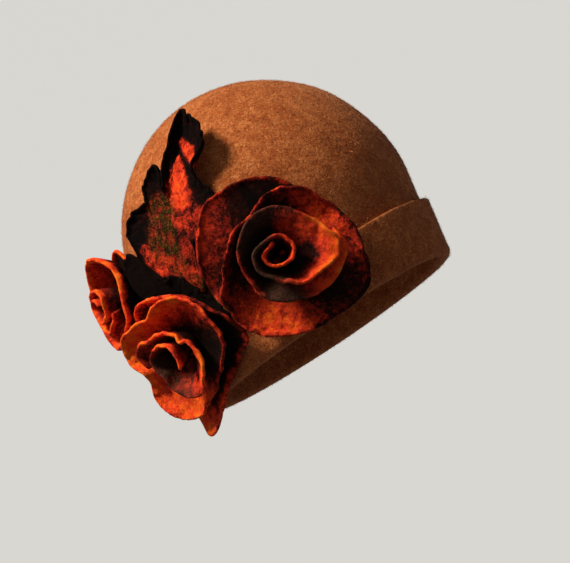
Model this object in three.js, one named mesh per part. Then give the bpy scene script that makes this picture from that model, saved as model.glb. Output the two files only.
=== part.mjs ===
// Wet-felted cloche hat with a turned-up cuff, three rolled felt roses and two felt leaves, as it is worn.
// Millimetres and degrees. +X is the wearer's front, -Y the wearer's right side, +Z is up.
// The origin is the middle of the head opening, in the plane of the rim.
import * as THREE from "three";

// The crown, measured over the outside of the felt
const crownLength = 219;
const crownWidth = 180;
const crownHeight = 200.5;
const widestLevel = 86;
const crownForward = 5;
const rimLength = 200;
const rimWidth = 164;
const crownFelt = 3;

// The cuff that the rim is folded up into
const cuffHeight = 42.5;
const cuffGap = 3;
const wornTilt = 33.3;

// Flower and leaf felt, and the clearances between layers
const petalFelt = 2.3;
const leafFelt = 2.2;
const layerGap = 0.7;
const seatGap = 0.95;
const cuffClear = 6;
const cuffEase = 16;

// The three roses and the two leaves
const roses = {
  rose_1: { around: 86.5, level: 47, radius: 53.5, depth: 30, coilAcross: -10.9, coilUp: 1.6 },
  rose_2: { around: 139, level: 37, radius: 50, depth: 36, coilAcross: -3, coilUp: 3.5 },
  rose_3: { around: 166, level: 100, radius: 34, depth: 32, coilAcross: -3, coilUp: 0 },
};
const brightLeaf = { around: 119, level: 125, length: 110, lift: 20 };
const darkLeaf = { around: 134, level: 70, length: 60, lift: 20 };

// Exponents of the crown's dome and of its taper towards the rim
const domePower = 1.95;
const taperPower = 1.3;

// How finely the felt is divided
const crownSlices = 40;
const domeRings = 7;
const wallRings = 5;
const cuffRings = 3;
const foldSteps = 5;
const discStep = 13;
const discRings = 6;
const floorRings = 2;
const spiralStep = 20;
const spiralRings = 4;

// Rims of the petals and leaves. Angles run anticlockwise from the right as seen on the wearer.
// Reach is a share of the flower's radius or the leaf's length, rise a share of its depth or lift.
const rim = (rows) => rows.map(([angle, reach, rise]) => ({ angle, reach, rise }));

const backPetals = {
  rose_1: rim([
    [0, 0.79, 0.05], [45, 0.82, 0.05], [86, 0.95, 0.12], [103, 1.09, 0.18], [115, 1.18, 0.22],
    [127, 1.27, 0.25], [139, 1.32, 0.27], [150, 1.37, 0.28], [165, 1.3, 0.28], [180, 1.25, 0.26],
    [195, 1.12, 0.2], [207, 0.98, 0.14], [225, 0.82, 0.08], [270, 0.79, 0.05], [315, 0.79, 0.05],
  ]),
  rose_2: rim([
    [7, 0.99, 0.12], [29, 0.97, 0.34], [48, 0.9, 0.42], [63, 0.88, 0.42], [87, 0.86, 0.42],
    [120, 0.96, 0.4], [135, 1.06, 0.38], [146, 1.08, 0.34], [160, 1, 0.3], [185, 0.92, 0.22],
    [215, 0.9, 0.15], [240, 1.05, 0.12], [250, 1.22, 0.14], [258, 1.36, 0.17], [267, 1.24, 0.17],
    [276, 1.03, 0.14], [289, 0.84, 0.11], [317, 0.7, 0.11], [348, 0.76, 0.08],
  ]),
  rose_3: rim([
    [0, 0.8, 0.1], [40, 0.9, 0.16], [70, 1.05, 0.25], [100, 0.95, 0.25], [140, 0.85, 0.2],
    [180, 0.8, 0.15], [230, 0.85, 0.15], [280, 0.9, 0.15], [325, 0.85, 0.12],
  ]),
};

const outerPetals = {
  rose_1: rim([
    [5, 0.94, 0.3], [26, 0.9, 0.32], [44, 0.88, 0.36], [64, 0.86, 0.42], [86, 0.94, 0.5],
    [105, 0.92, 0.55], [132, 0.82, 0.65], [149, 0.83, 0.72], [174, 0.85, 0.75], [186, 0.9, 0.75],
    [201, 0.98, 0.7], [211, 1.06, 0.6], [229, 1.09, 0.45], [247, 1.07, 0.36], [266, 0.99, 0.32],
    [288, 0.94, 0.3], [306, 0.93, 0.28], [326, 0.98, 0.28], [340, 1.03, 0.28], [355, 0.99, 0.28],
  ]),
  rose_2: rim([
    [6, 0.77, 0.5], [22, 0.85, 0.54], [40, 0.9, 0.57], [66, 0.9, 0.61], [97, 0.85, 0.62],
    [112, 0.81, 0.64], [124, 0.75, 0.65], [149, 0.97, 0.67], [169, 1.18, 0.63], [183, 1.16, 0.59],
    [197, 0.96, 0.54], [207, 1.12, 0.39], [214, 1.24, 0.38], [222, 1.26, 0.37], [236, 1.2, 0.36],
    [254, 1.05, 0.33], [275, 0.79, 0.38], [298, 0.66, 0.42], [325, 0.64, 0.46],
  ]),
  rose_3: rim([
    [0, 0.75, 0.58], [40, 0.84, 0.48], [70, 1, 0.62], [95, 1.05, 0.8], [135, 0.95, 0.84],
    [180, 0.8, 0.9], [225, 0.8, 0.98], [260, 0.9, 0.95], [290, 0.95, 0.85], [320, 0.85, 0.7],
  ]),
};

const spirals = {
  rose_1: rim([
    [106, 0.16, 0.93], [171, 0.18, 0.93], [248, 0.16, 0.93], [303, 0.15, 0.92], [354, 0.18, 0.92],
    [388, 0.23, 0.92], [444, 0.25, 0.93], [486, 0.25, 0.95], [521, 0.28, 0.97], [549, 0.32, 1],
    [602, 0.32, 0.98], [634, 0.35, 0.95], [660, 0.43, 0.9], [682, 0.52, 0.86], [700, 0.6, 0.83],
    [713, 0.71, 0.81], [726, 0.79, 0.8], [737, 0.81, 0.8], [751, 0.72, 0.8], [772, 0.64, 0.8],
    [804, 0.62, 0.82], [839, 0.6, 0.8], [866, 0.54, 0.78], [906, 0.5, 0.75], [932, 0.47, 0.73],
    [952, 0.5, 0.7], [977, 0.57, 0.66], [1015, 0.62, 0.59], [1041, 0.72, 0.52], [1068, 0.83, 0.47],
    [1090, 0.9, 0.45], [1108, 0.82, 0.45],
  ]),
  rose_2: rim([
    [-31, 0.3, 0.94], [9, 0.24, 0.93], [43, 0.24, 0.92], [89, 0.19, 0.9], [160, 0.27, 0.89],
    [186, 0.29, 0.88], [238, 0.32, 0.86], [270, 0.5, 0.85], [296, 0.66, 0.83], [307, 0.7, 0.82],
    [323, 0.68, 0.81], [354, 0.6, 0.79], [381, 0.5, 0.76], [404, 0.39, 0.75], [453, 0.36, 0.73],
    [499, 0.44, 0.71], [519, 0.6, 0.69], [538, 0.7, 0.65], [558, 0.62, 0.63],
  ]),
  rose_3: rim([
    [20, 0.2, 0.95], [90, 0.24, 0.97], [180, 0.24, 1], [270, 0.28, 0.98], [360, 0.34, 0.85],
    [430, 0.45, 0.85], [500, 0.5, 0.92], [580, 0.5, 0.95], [650, 0.52, 0.88], [700, 0.5, 0.75],
  ]),
};

const brightLeafRim = rim([
  [3, 0.24, 0.3], [47, 0.28, 0.5], [58, 0.48, 0.78], [70, 0.62, 0.95], [83, 0.68, 1],
  [88, 0.58, 0.88], [91, 0.4, 0.6], [97, 0.17, 0.4], [106, 0.33, 0.6], [121, 0.31, 0.52],
  [136, 0.29, 0.45], [153, 0.21, 0.35], [182, 0.34, 0.45], [198, 0.38, 0.35], [213, 0.38, 0.25],
  [233, 0.43, 0.14], [255, 0.42, 0.08], [275, 0.47, 0.06], [291, 0.56, 0.06], [301, 0.4, 0.06],
  [312, 0.27, 0.15],
]);

const darkLeafRim = rim([
  [12, 0.4, 0.26], [59, 0.26, 0.28], [106, 0.33, 0.28], [122, 0.4, 0.29], [129, 0.64, 0.3],
  [135, 0.89, 0.33], [151, 0.92, 0.36], [159, 0.84, 0.33], [170, 0.62, 0.28], [188, 0.36, 0.25],
  [237, 0.1, 0.21], [310, 0.14, 0.21], [335, 0.42, 0.22], [345, 0.72, 0.23], [357, 0.54, 0.24],
]);

// Small helpers
const radians = THREE.MathUtils.degToRad;
const mix = THREE.MathUtils.lerp;
const ease = (share) => THREE.MathUtils.smoothstep(share, 0, 1);

// The crown's outer face as formulas: half length, half width and middle at a level above the rim
function taper(level) {
  const below = THREE.MathUtils.clamp((widestLevel - level) / widestLevel, 0, 1);
  return below ** taperPower;
}

function crownSection(level) {
  const share = taper(level);
  return {
    long: mix(crownLength, rimLength, share) / 2,
    wide: mix(crownWidth, rimWidth, share) / 2,
    middle: crownForward * (1 - share),
  };
}

// A point of the crown moved out by a distance, at an angle round from the front towards the right side
function crownPoint(around, level, out) {
  const { long, wide, middle } = crownSection(level);
  const rise = Math.max(0, level - widestLevel) / (crownHeight - widestLevel + out);
  const shrink = Math.max(0, 1 - rise ** domePower) ** (1 / domePower);
  const x = middle + (long + out) * shrink * Math.cos(around);
  const y = -(wide + out) * shrink * Math.sin(around);
  return new THREE.Vector3(x, y, level);
}

// Zero on the crown's outer face moved out by a distance, more than zero outside it
function outside(point, out) {
  const { long, wide, middle } = crownSection(point.z);
  const rise = Math.max(0, point.z - widestLevel) / (crownHeight - widestLevel + out);
  const across = Math.hypot((point.x - middle) / (long + out), point.y / (wide + out));
  return across ** domePower + rise ** domePower - 1;
}

function crownNormal(point) {
  const probe = 0.5;
  const slope = (axis) => {
    const step = new THREE.Vector3().setComponent(axis, probe);
    return outside(point.clone().add(step), 0) - outside(point.clone().sub(step), 0);
  };
  return new THREE.Vector3(slope(0), slope(1), slope(2)).normalize();
}

// How far the decoration stands off the crown: over the cuff it clears the cuff
const cuffStand = crownFelt + cuffGap;

function seatStand(level) {
  return seatGap + cuffStand * (1 - ease((level - cuffHeight - cuffClear) / cuffEase));
}

// A flower's own frame: middle on the seat, outward normal, and up as worn
function seatFrame(around, level, stand) {
  const angle = radians(around);
  const normal = crownNormal(crownPoint(angle, level, 0));
  const tilt = radians(wornTilt);
  const up = new THREE.Vector3(Math.sin(tilt), 0, Math.cos(tilt));
  up.addScaledVector(normal, -up.dot(normal)).normalize();
  const across = new THREE.Vector3().crossVectors(up, normal);
  return { middle: crownPoint(angle, level, stand + seatGap), normal, up, across };
}

// How far the seat lies below the frame's plane at a place, held back as stiff felt bends less
const seatTurns = 25;
const seatProbe = 0.1;
const leastSlope = 0.001;

function seatDrop(frame, across, up, bend) {
  const start = frame.middle.clone().addScaledVector(frame.across, across).addScaledVector(frame.up, up);
  let depth = 0;
  for (let turn = 0; turn < seatTurns; turn += 1) {
    const here = start.clone().addScaledVector(frame.normal, depth);
    const next = start.clone().addScaledVector(frame.normal, depth + seatProbe);
    const value = outside(here, seatStand(here.z));
    const slope = Math.max(leastSlope, (outside(next, seatStand(next.z)) - value) / seatProbe);
    depth = THREE.MathUtils.clamp(depth - value / slope, -crownWidth / 2, cuffStand);
  }
  return depth < 0 ? -bend * Math.tanh(-depth / bend) : depth;
}

function place(frame, across, up, height, bend, follow) {
  const lift = height + follow * seatDrop(frame, across, up, bend);
  return frame.middle
    .clone()
    .addScaledVector(frame.across, across)
    .addScaledVector(frame.up, up)
    .addScaledVector(frame.normal, lift);
}

// Smooth reading of a rim table at any angle, closed or open
function readRim(rows, angle, closed) {
  const turn = 360;
  const count = rows.length;
  let at = 0;
  const start = rows[0].angle;
  const target = closed ? start + THREE.MathUtils.euclideanModulo(angle - start, turn) : angle;
  const last = closed ? count - 1 : count - 2;
  while (at < last && rows[at + 1].angle <= target) at += 1;
  const row = (index) => {
    if (!closed) return rows[THREE.MathUtils.clamp(index, 0, count - 1)];
    const wrapped = THREE.MathUtils.euclideanModulo(index, count);
    return { ...rows[wrapped], angle: rows[wrapped].angle + turn * Math.floor(index / count) };
  };
  const [before, from, to, after] = [row(at - 1), row(at), row(at + 1), row(at + 2)];
  const span = to.angle - from.angle;
  const share = (target - from.angle) / span;
  const read = (key) => {
    const leave = tangent(before, from, to, key) * span;
    const arrive = tangent(from, to, after, key) * span;
    const s2 = share * share;
    const s3 = s2 * share;
    return (
      (2 * s3 - 3 * s2 + 1) * from[key] +
      (s3 - 2 * s2 + share) * leave +
      (3 * s2 - 2 * s3) * to[key] +
      (s3 - s2) * arrive
    );
  };
  return { reach: read("reach"), rise: read("rise") };
}

// A slope that never overshoots between rows
function tangent(before, here, after, key) {
  const left = (here[key] - before[key]) / (here.angle - before.angle || 1);
  const right = (after[key] - here[key]) / (after.angle - here.angle || 1);
  return left * right > 0 ? (2 * left * right) / (left + right) : 0;
}

// Triangles of a closed felt sheet from a grid of middle points, rows along the rim, columns from foot to rim
function feltSheet(grid, thickness, { closed, pole }) {
  const rows = grid.length;
  const columns = grid[0].length;
  const rowAt = (row) => grid[closed ? THREE.MathUtils.euclideanModulo(row, rows) : row];
  const normalAt = (row, column) => {
    const before = closed || row > 0 ? row - 1 : row;
    const after = closed || row < rows - 1 ? row + 1 : row;
    const inner = Math.max(0, column - 1);
    const outer = Math.min(columns - 1, column + 1);
    const along = rowAt(after)[column].clone().sub(rowAt(before)[column]);
    const outward = rowAt(row)[outer].clone().sub(rowAt(row)[inner]);
    return outward.cross(along).normalize();
  };
  const faces = [];
  const half = thickness / 2;
  const sheet = (sign) =>
    grid.map((line, row) =>
      line.map((point, column) => point.clone().addScaledVector(normalAt(row, column), sign * half)),
    );
  const front = sheet(1);
  const back = sheet(-1);
  if (pole) {
    const normal = new THREE.Vector3();
    grid.forEach((line, row) => normal.add(normalAt(row, 1)));
    normal.normalize();
    const top = grid[0][0].clone().addScaledVector(normal, half);
    const bottom = grid[0][0].clone().addScaledVector(normal, -half);
    front.forEach((line) => (line[0] = top));
    back.forEach((line) => (line[0] = bottom));
  }
  const triangle = (a, b, c) => faces.push(a, b, c);
  const quad = (a, b, c, d) => {
    if (a !== d) triangle(a, b, d);
    if (b !== c) triangle(b, c, d);
  };
  const spans = closed ? rows : rows - 1;
  for (let row = 0; row < spans; row += 1) {
    const next = closed ? (row + 1) % rows : row + 1;
    for (let column = 0; column < columns - 1; column += 1) {
      quad(front[row][column], front[row][column + 1], front[next][column + 1], front[next][column]);
      quad(back[next][column], back[next][column + 1], back[row][column + 1], back[row][column]);
    }
    const rimColumn = columns - 1;
    quad(front[row][rimColumn], back[row][rimColumn], back[next][rimColumn], front[next][rimColumn]);
    if (!pole) quad(back[row][0], front[row][0], front[next][0], back[next][0]);
  }
  if (!closed) {
    const end = rows - 1;
    for (let column = 0; column < columns - 1; column += 1) {
      quad(front[0][column], back[0][column], back[0][column + 1], front[0][column + 1]);
      quad(back[end][column], front[end][column], front[end][column + 1], back[end][column + 1]);
    }
  }
  const geometry = new THREE.BufferGeometry();
  geometry.setAttribute("position", new THREE.Float32BufferAttribute(faces.flatMap((p) => p.toArray()), 3));
  geometry.computeVertexNormals();
  return geometry;
}

// Angles that hit every row of a rim table and lie no further apart than a step
function rimAngles(rows, step, closed) {
  const ends = closed ? [...rows, { angle: rows[0].angle + 360 }] : rows;
  const angles = [];
  for (let row = 0; row < ends.length - 1; row += 1) {
    const span = ends[row + 1].angle - ends[row].angle;
    const parts = Math.max(1, Math.round(span / step));
    for (let part = 0; part < parts; part += 1) angles.push(ends[row].angle + (span * part) / parts);
  }
  if (!closed) angles.push(ends[ends.length - 1].angle);
  return angles;
}

// A place on the frame's plane at an angle and a distance from a middle, with its height above the plane
function polar(middle, angle, reach, rise) {
  const across = middle.across + reach * Math.cos(radians(angle));
  const up = middle.up + reach * Math.sin(radians(angle));
  return { across, up, rise };
}

// A line of felt from a petal's foot to its rim; cup 0 spreads first and rises late, cup 1 rises first
function petalLine(frame, foot, lip, { rings, cup, bend, follow, lipFollow = follow }) {
  const knee = {
    across: mix(lip.across, foot.across, cup),
    up: mix(lip.up, foot.up, cup),
    rise: mix(foot.rise, lip.rise, cup),
  };
  const line = [];
  for (let ring = 0; ring <= rings; ring += 1) {
    const share = ring / rings;
    const read = (key) => mix(mix(foot[key], knee[key], share), mix(knee[key], lip[key], share), share);
    line.push(place(frame, read("across"), read("up"), read("rise"), bend, mix(follow, lipFollow, share)));
  }
  return line;
}

// A round petal or leaf: a level floor round its middle, and from there a dish that grows to its rim
function disc(frame, rows, { size, lift, base, felt, middle, floor = 0, ...form }) {
  const grid = rimAngles(rows, discStep, true).map((angle) => {
    const { reach, rise } = readRim(rows, angle, true);
    const lip = polar({ across: 0, up: 0 }, angle, reach * size, rise * lift);
    const towards = Math.atan2(lip.up - middle.up, lip.across - middle.across);
    const level = (radius) => ({
      across: middle.across + radius * Math.cos(towards),
      up: middle.up + radius * Math.sin(towards),
      rise: base,
    });
    const flat = { rings: floorRings, ...form };
    const inner = floor > 0 ? petalLine(frame, level(0), level(floor), flat).slice(0, -1) : [];
    const rings = discRings - inner.length;
    return [...inner, ...petalLine(frame, level(floor), lip, { rings, ...form })];
  });
  return feltSheet(grid, felt, { closed: true, pole: true });
}

// A rolled petal: one strip that winds out from the bud, with its rim opening as it goes
function spiral(frame, rows, { size, lift, base, felt, middle, footStart, footPitch, ...form }) {
  const first = rows[0].angle;
  const grid = rimAngles(rows, spiralStep, false).map((angle) => {
    const { reach, rise } = readRim(rows, angle, false);
    const lip = polar(middle, angle, reach * size, rise * lift);
    const foot = polar(middle, angle, footStart + (footPitch * (angle - first)) / 360, base);
    foot.rise += (felt / 2) * lean(foot, lip, form.cup);
    return petalLine(frame, foot, lip, { rings: spiralRings, ...form });
  });
  return feltSheet(grid, felt, { closed: false, pole: false });
}

// How far a petal leans out where it starts: 0 straight up, 1 level
function lean(foot, lip, cup) {
  const out = (1 - cup) * Math.hypot(lip.across - foot.across, lip.up - foot.up);
  return out / Math.hypot(out, cup * (lip.rise - foot.rise));
}

// How far from the bud's middle the foot of a rolled petal ends
function coilReach(rows, { footStart, footPitch }) {
  return footStart + (footPitch * (rows[rows.length - 1].angle - rows[0].angle)) / 360;
}

// The hat body: one felt wall, dome and sides, folded out and up at the rim into the cuff
function hatBody() {
  const foldRadius = cuffGap / 2;
  const foldOuter = foldRadius + crownFelt;
  const stations = [];
  const dome = (out, ring) => {
    const angle = (ring / domeRings) * (Math.PI / 2);
    const level = widestLevel + (crownHeight - widestLevel + out) * Math.sin(angle) ** (2 / domePower);
    const shrink = Math.cos(angle) ** (2 / domePower);
    const { long, wide, middle } = crownSection(widestLevel);
    return { long: (long + out) * shrink, wide: (wide + out) * shrink, middle, level };
  };
  const wall = (out, level) => {
    const { long, wide, middle } = crownSection(level);
    return { long: long + out, wide: wide + out, middle, level };
  };
  const fold = (radius, step) => {
    const angle = Math.PI + (step / foldSteps) * Math.PI;
    const flat = wall(foldRadius + radius * Math.cos(angle), foldOuter);
    return { ...flat, level: foldOuter + radius * Math.sin(angle) };
  };
  for (let ring = domeRings - 1; ring >= 0; ring -= 1) stations.push(dome(0, ring));
  for (let ring = 1; ring < wallRings; ring += 1) {
    stations.push(wall(0, mix(widestLevel, foldOuter, ring / wallRings)));
  }
  for (let step = 0; step <= foldSteps; step += 1) stations.push(fold(foldRadius, step));
  for (let ring = 1; ring <= cuffRings; ring += 1) {
    stations.push(wall(cuffGap, mix(foldOuter, cuffHeight, ring / cuffRings)));
  }
  for (let ring = cuffRings; ring >= 1; ring -= 1) {
    stations.push(wall(cuffStand, mix(foldOuter, cuffHeight, ring / cuffRings)));
  }
  for (let step = foldSteps; step >= 0; step -= 1) stations.push(fold(foldOuter, step));
  for (let ring = wallRings - 1; ring >= 1; ring -= 1) {
    stations.push(wall(-crownFelt, mix(widestLevel, foldOuter, ring / wallRings)));
  }
  for (let ring = 0; ring < domeRings; ring += 1) stations.push(dome(-crownFelt, ring));
  const rings = stations.map(({ long, wide, middle, level }) => {
    const ring = [];
    for (let slice = 0; slice < crownSlices; slice += 1) {
      const angle = (slice / crownSlices) * 2 * Math.PI;
      ring.push(new THREE.Vector3(middle + long * Math.cos(angle), wide * Math.sin(angle), level));
    }
    return ring;
  });
  const faces = [];
  const outerTop = new THREE.Vector3(crownForward, 0, crownHeight);
  const innerTop = new THREE.Vector3(crownForward, 0, crownHeight - crownFelt);
  const lastRing = rings[rings.length - 1];
  for (let slice = 0; slice < crownSlices; slice += 1) {
    const next = (slice + 1) % crownSlices;
    faces.push(outerTop, rings[0][slice], rings[0][next]);
    for (let row = 0; row < rings.length - 1; row += 1) {
      faces.push(rings[row][slice], rings[row + 1][slice], rings[row + 1][next]);
      faces.push(rings[row][slice], rings[row + 1][next], rings[row][next]);
    }
    faces.push(lastRing[slice], innerTop, lastRing[next]);
  }
  const geometry = new THREE.BufferGeometry();
  geometry.setAttribute("position", new THREE.Float32BufferAttribute(faces.flatMap((p) => p.toArray()), 3));
  geometry.computeVertexNormals();
  return geometry;
}

// Felt colours
const felt = (name, color) => new THREE.MeshStandardMaterial({ name, color, roughness: 0.95, metalness: 0 });
const felts = {
  hat: felt("hat_felt", 0x9a4f22),
  dark: felt("dark_felt", 0x1d1312),
  flower: felt("flower_felt", 0xb5301a),
  lip: felt("bright_felt", 0xd9541c),
};

// The hat stands upright in its own group, which is then tipped back as it is worn
const hat = new THREE.Group();
hat.rotation.y = -radians(wornTilt);

function add(name, geometry, material) {
  const mesh = new THREE.Mesh(geometry, material);
  mesh.name = name;
  hat.add(mesh);
}

add("hat_body", hatBody(), felts.hat);

const layer = petalFelt + layerGap;
const backBase = petalFelt / 2;
const outerBase = backBase + layer;
const spiralBase = outerBase + petalFelt / 2 + layerGap;

// How each rose is shaped: how far it bends to the crown, how its petals cup and how its bud is wound
const shapes = {
  rose_1: {
    stand: cuffStand,
    back: { cup: 0.1, bend: 40, follow: 1 },
    outer: { cup: 0.15, bend: 40, follow: 0.6 },
    coil: { cup: 0.6, footStart: 4.5, footPitch: 3.2 },
  },
  rose_2: {
    stand: cuffStand,
    back: { cup: 0.35, bend: 14, follow: 0.6 },
    outer: { cup: 0.3, bend: 14, follow: 0.5 },
    coil: { cup: 0.6, footStart: 5, footPitch: 4 },
  },
  rose_3: {
    stand: 0,
    back: { cup: 0.2, bend: 14, follow: 1 },
    outer: { cup: 0.15, bend: 14, follow: 0.5 },
    coil: { cup: 0.6, footStart: 3.5, footPitch: 4 },
  },
};

for (const [name, rose] of Object.entries(roses)) {
  const shape = shapes[name];
  const frame = seatFrame(rose.around, rose.level, shape.stand);
  const middle = { across: rose.coilAcross, up: rose.coilUp };
  const floor = coilReach(spirals[name], shape.coil) + petalFelt;
  const shared = { size: rose.radius, lift: rose.depth, felt: petalFelt, middle };
  const back = { ...shared, ...shape.back, base: backBase, floor: floor + petalFelt };
  const outer = { ...shared, ...shape.outer, base: outerBase, floor };
  const coil = { ...shared, ...shape.outer, ...shape.coil, base: spiralBase, lipFollow: 0 };
  add(`${name}_back_petal`, disc(frame, backPetals[name], back), felts.dark);
  add(`${name}_outer_petal`, disc(frame, outerPetals[name], outer), felts.flower);
  add(`${name}_spiral`, spiral(frame, spirals[name], coil), felts.lip);
}

function leaf({ around, level, length, lift }, rows, form) {
  const frame = seatFrame(around, level, 0);
  return disc(frame, rows, { size: length, lift, felt: leafFelt, middle: { across: 0, up: 0 }, ...form });
}

const leafBase = leafFelt / 2;
const brightForm = { base: leafBase, cup: 0.1, bend: 40, follow: 0.9 };
const darkForm = { base: leafBase + layer, cup: 0.2, bend: 40, follow: 0.5 };
add("leaf_bright", leaf(brightLeaf, brightLeafRim, brightForm), felts.flower);
add("leaf_dark", leaf(darkLeaf, darkLeafRim, darkForm), felts.dark);

const model = new THREE.Group();
model.add(hat);

export default model;
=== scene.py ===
"""Wet-felted cloche hat: felt body with a turned-up cuff, three rolled felt roses and two felt leaves."""
import math

import bpy
import numpy as np
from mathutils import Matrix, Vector


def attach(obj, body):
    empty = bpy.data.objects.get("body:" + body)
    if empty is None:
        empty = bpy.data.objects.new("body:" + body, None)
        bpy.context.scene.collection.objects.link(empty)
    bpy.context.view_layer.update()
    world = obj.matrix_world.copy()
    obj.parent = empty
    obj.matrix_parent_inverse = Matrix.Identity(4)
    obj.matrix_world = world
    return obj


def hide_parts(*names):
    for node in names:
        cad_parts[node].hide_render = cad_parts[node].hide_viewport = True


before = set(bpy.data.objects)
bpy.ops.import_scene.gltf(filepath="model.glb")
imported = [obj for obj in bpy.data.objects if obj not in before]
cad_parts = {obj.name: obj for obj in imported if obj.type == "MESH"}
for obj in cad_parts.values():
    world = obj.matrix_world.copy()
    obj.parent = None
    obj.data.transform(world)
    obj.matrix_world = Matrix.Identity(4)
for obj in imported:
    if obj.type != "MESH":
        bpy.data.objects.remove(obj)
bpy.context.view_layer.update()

MM = 0.001
BODY = "root"

# The crown, measured over the outside of the felt, in millimetres
CROWN_LENGTH = 219
CROWN_WIDTH = 180
CROWN_HEIGHT = 200.5
WIDEST_LEVEL = 86
CROWN_FORWARD = 5
RIM_LENGTH = 200
RIM_WIDTH = 164
CROWN_FELT = 3
CUFF_HEIGHT = 42.5
CUFF_GAP = 3
CUFF_STAND = CROWN_FELT + CUFF_GAP
WORN_TILT = math.radians(33.3)
DOME_POWER = 1.95
TAPER_POWER = 1.3

# Flower and leaf felt, and how far the layers stand off what carries them
PETAL_FELT = 2.3
LEAF_FELT = 2.2
LAYER_GAP = 0.7
SEAT_GAP = 0.95
CUFF_CLEAR = 6
CUFF_EASE = 16
LAYER = PETAL_FELT + LAYER_GAP

# How finely the felt is divided
HAT_SLICES = 256
DISC_SLICES = 320
FLOOR_RINGS = 7
DISH_RINGS = 30
STRIP_STEP = 2.0
STRIP_RINGS = 20
LIP_STEPS = 5

# The photograph's frame and where the head opening's middle lies in it, in pixels
PHOTO_WIDTH = 570
PHOTO_HEIGHT = 563
ORIGIN_PX = (330.3, 333.3)
MM_PER_PX = 0.73
CAMERA_DISTANCE = 2400
CAMERA_AZIMUTH = math.radians(6)
CAMERA_ELEVATION = math.radians(-5.5)

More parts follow.
